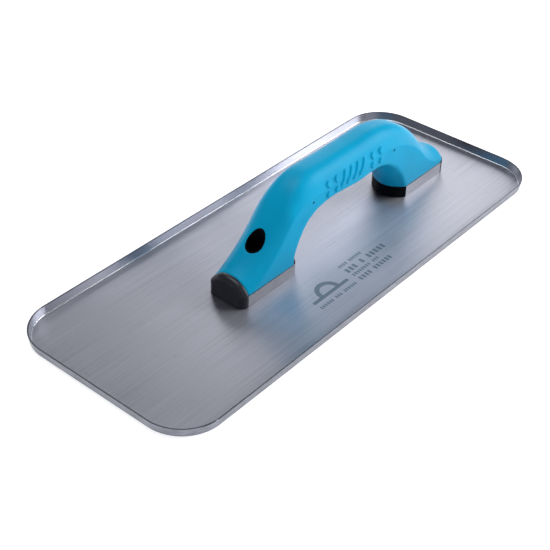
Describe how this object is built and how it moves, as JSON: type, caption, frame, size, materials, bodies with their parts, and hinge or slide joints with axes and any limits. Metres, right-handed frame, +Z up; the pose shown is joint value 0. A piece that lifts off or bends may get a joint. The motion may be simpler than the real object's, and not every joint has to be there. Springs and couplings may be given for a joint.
{
  "type": "steel tray hand float",
  "caption": "Hand float with a shallow tray-shaped steel blade and an arched grip handle screwed into drawn channel brackets.",
  "frame": {"origin": "middle of the blade's sole, on the face that rubs the work", "axes": "+X along the blade towards the handle's rounded tongue, +Z up out of the tray, +Y completes the right hand"},
  "size_m": [0.3798, 0.1498, 0.068],
  "materials": {
    "blade_steel": "brushed along the blade",
    "bracket_steel": "mill, fine brushed",
    "core_nylon": "fine moulded texture",
    "grip_rubber": "satin, soft-touch moulded",
    "cap_nylon": "satin moulded",
    "plated_steel": "bright zinc plate"
  },
  "bodies": {
    "root": {"blade": "blade_steel", "front_bracket": "bracket_steel", "rear_bracket": "bracket_steel", "handle_core": "core_nylon", "grip_sleeve": "grip_rubber", "front_end_cap": "cap_nylon", "front_weld_nut": "plated_steel", "rear_weld_nut": "plated_steel", "front_flat_washer": "plated_steel", "rear_flat_washer": "plated_steel", "front_spring_washer": "plated_steel", "rear_spring_washer": "plated_steel", "front_screw": "plated_steel", "rear_screw": "plated_steel"}
  },
  "joints": []
}
